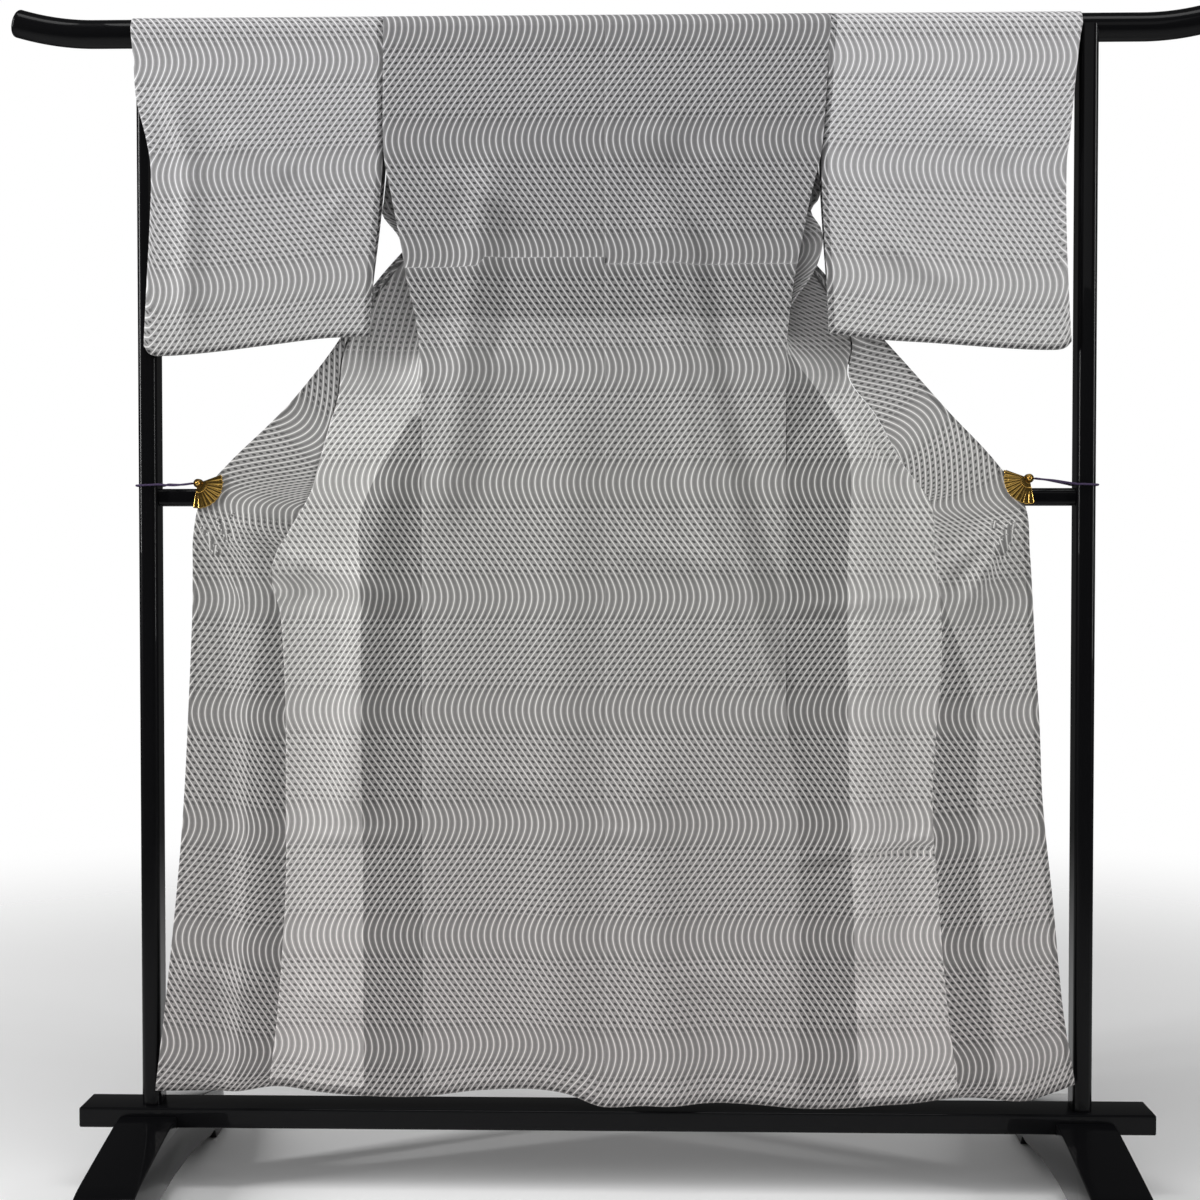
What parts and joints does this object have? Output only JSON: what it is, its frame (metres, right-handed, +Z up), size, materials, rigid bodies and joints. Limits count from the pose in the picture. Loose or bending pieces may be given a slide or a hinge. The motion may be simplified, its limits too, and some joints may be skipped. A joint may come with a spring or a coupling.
{
  "type": "silk kimono on a kimono stand",
  "caption": "Unlined silk kimono displayed back outward on a black lacquered stand, the rail through its sleeves and its fronts held out by fan clips.",
  "frame": {"origin": "middle of the stand's footprint, on the floor", "axes": "+X along the rail to the right as the garment's back is faced, +Y from the garment's back to its front side, +Z up"},
  "size_m": [1.786, 0.53, 1.7523],
  "materials": {
    "silk": "unlined woven silk, soft sheen, off-white wavy stripes with grey dots",
    "lacquer": "black lacquer, high gloss",
    "gilt": "gilt, polished ribs",
    "elastic": "braided elastic, dark violet"
  },
  "bodies": {
    "root": {"body_left": "silk", "body_right": "silk", "okumi_left": "silk", "okumi_right": "silk", "sleeve_left": "silk", "sleeve_right": "silk", "collar_neck": "silk", "collar_left": "silk", "collar_right": "silk", "top_rail": "lacquer", "post_left": "lacquer", "post_right": "lacquer", "mid_rail": "lacquer", "base_board": "lacquer", "foot_left": "lacquer", "foot_right": "lacquer", "clip_fan_left": "gilt", "clip_knob_left": "gilt", "clip_jaw_left": "gilt", "clip_fan_right": "gilt", "clip_knob_right": "gilt", "clip_jaw_right": "gilt", "clip_cord_left": "elastic", "clip_cord_right": "elastic"}
  },
  "joints": []
}
